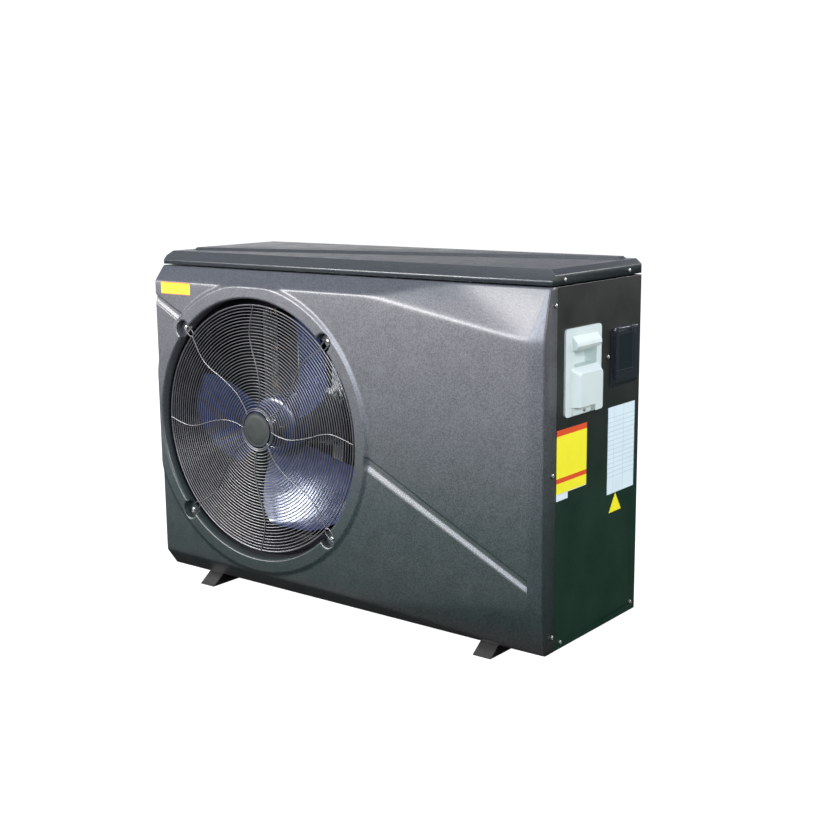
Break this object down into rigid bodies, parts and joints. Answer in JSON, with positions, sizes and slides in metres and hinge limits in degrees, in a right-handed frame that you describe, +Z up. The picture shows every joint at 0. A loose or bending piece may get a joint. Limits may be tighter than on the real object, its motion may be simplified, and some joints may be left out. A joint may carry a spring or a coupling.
{
  "type": "pool heat pump unit",
  "caption": "Side-discharge pool heat pump in a faceted charcoal casing, with a ringed fan guard, side grip and wiring cover, a clear-lidded controller and foot rails.",
  "frame": {"origin": "on the floor under the middle of the whole unit's bounding box", "axes": "+X to the unit's right as seen from its fan side, +Y to the back, +Z up"},
  "size_m": [1.0206, 0.42, 0.745],
  "materials": {
    "front_moulding": "charcoal grained moulding",
    "cover_sheet": "charcoal textured powder coat",
    "side_sheet": "near black powder coat",
    "foot_sheet": "black paint",
    "galvanised": "galvanised sheet",
    "wire_guard": "black coated wire",
    "badge": "plain dark disc",
    "fan_plastic": "glossy black",
    "bell_plastic": "black",
    "motor_paint": "satin dark grey",
    "shaft_steel": "turned steel",
    "screw_steel": "zinc plated",
    "fin_aluminium": "blue coated aluminium sheet",
    "copper_tube": "drawn copper",
    "compressor_paint": "black gloss paint",
    "rubber": "moulded rubber",
    "water_plastic": "grey moulded pipe plastic",
    "nut_plastic": "black moulded plastic",
    "board_green": "circuit board",
    "capacitor_can": "plain can",
    "pale_plastic": "pale grey moulding",
    "controller_black": "black moulding",
    "screen_glass": "dark glossy screen",
    "clear_plastic": "clear lid",
    "yellow_label": "plain yellow label",
    "white_label": "plain white label",
    "blue_label": "plain pale blue label"
  },
  "bodies": {
    "casing": {"front_panel": "front_moulding", "top_cover": "cover_sheet", "right_side_panel": "side_sheet", "left_side_panel": "side_sheet", "rear_panel": "side_sheet", "rear_guard": "wire_guard", "base_pan": "galvanised", "drain_nipple": "nut_plastic", "left_foot": "foot_sheet", "right_foot": "foot_sheet", "foot_bolts": "screw_steel", "corner_posts": "galvanised", "partition_plate": "galvanised", "cable_gland": "nut_plastic", "fan_guard": "wire_guard", "guard_badge": "badge", "guard_screws": "screw_steel", "bell_mouth": "bell_plastic", "fan_motor": "motor_paint", "motor_bracket": "galvanised", "motor_screws": "screw_steel", "evaporator_fins": "fin_aluminium", "evaporator_tubes": "copper_tube", "compressor": "compressor_paint", "compressor_mounts": "rubber", "compressor_nuts": "screw_steel", "accumulator": "compressor_paint", "four_way_valve": "copper_tube", "expansion_valve": "copper_tube", "discharge_pipe": "copper_tube", "suction_pipe": "copper_tube", "exchanger_tank": "water_plastic", "union_seals": "rubber", "inlet_tail": "water_plastic", "outlet_tail": "water_plastic", "electrical_box": "galvanised", "electrical_box_cover": "galvanised", "control_board": "board_green", "capacitor": "capacitor_can", "terminal_block": "nut_plastic", "grip_plate": "pale_plastic", "wiring_cover": "pale_plastic", "wiring_cover_screw": "screw_steel", "controller_housing": "controller_black", "controller_screen": "screen_glass", "lid_hinge_pin": "shaft_steel", "front_label": "yellow_label", "caution_label": "yellow_label", "data_label": "blue_label", "triangle_label": "yellow_label", "inspection_sticker": "white_label", "casing_screws": "screw_steel", "cover_screws": "screw_steel"},
    "fan": {"fan_blades": "fan_plastic", "motor_shaft": "shaft_steel", "fan_nut": "shaft_steel"},
    "lid": {"controller_lid": "clear_plastic"},
    "inlet_nut": {"inlet_union_nut": "nut_plastic"},
    "outlet_nut": {"outlet_union_nut": "nut_plastic"}
  },
  "joints": [
    {"name": "fan_spin", "type": "hinge", "parent": "casing", "child": "fan", "pos_m": [-0.2202, -0.116, 0.3746], "axis": [0, 1, 0], "continuous": true},
    {"name": "lid_hinge", "type": "hinge", "parent": "casing", "child": "lid", "pos_m": [0.4973, 0.086, 0.613], "axis": [0, -1, 0], "range_deg": [0, 92]},
    {"name": "inlet_nut_turn", "type": "hinge", "parent": "casing", "child": "inlet_nut", "pos_m": [0.3773, 0.172, 0.148], "axis": [0, 1, 0], "continuous": true},
    {"name": "outlet_nut_turn", "type": "hinge", "parent": "casing", "child": "outlet_nut", "pos_m": [0.3773, 0.172, 0.358], "axis": [0, 1, 0], "continuous": true}
  ]
}
